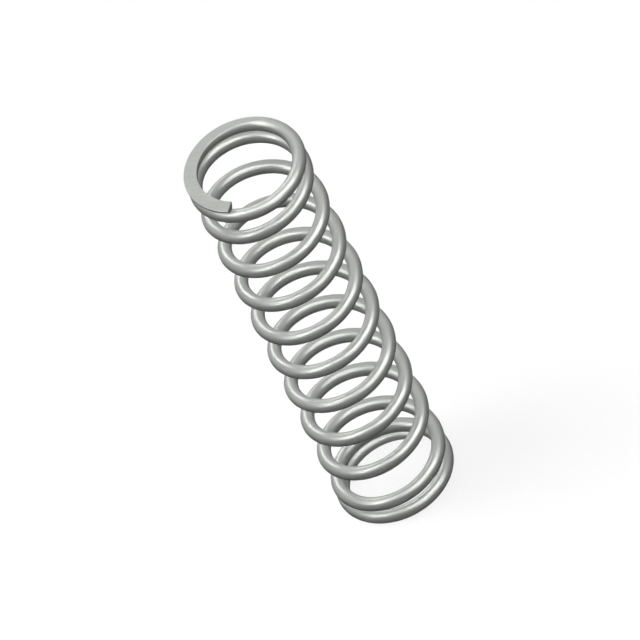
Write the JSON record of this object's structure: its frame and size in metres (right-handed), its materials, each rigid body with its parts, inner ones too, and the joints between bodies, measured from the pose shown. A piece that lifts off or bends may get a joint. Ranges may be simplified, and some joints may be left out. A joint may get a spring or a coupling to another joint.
{
  "type": "compression spring",
  "caption": "Round-wire compression spring, wound right-handed, with closed and ground ends. It pushes back along its axis when it is squeezed, over a rod or in a hole.",
  "frame": {"origin": "centre of the lower ground face, on the coil's axis", "axes": "+Z along the coil's axis to the upper ground face, +X through the lower tip of the wire"},
  "size_m": [0.014, 0.014, 0.0565],
  "materials": {
    "spring_wire": "satin"
  },
  "bodies": {
    "root": {"compression_spring": "spring_wire"}
  },
  "joints": []
}
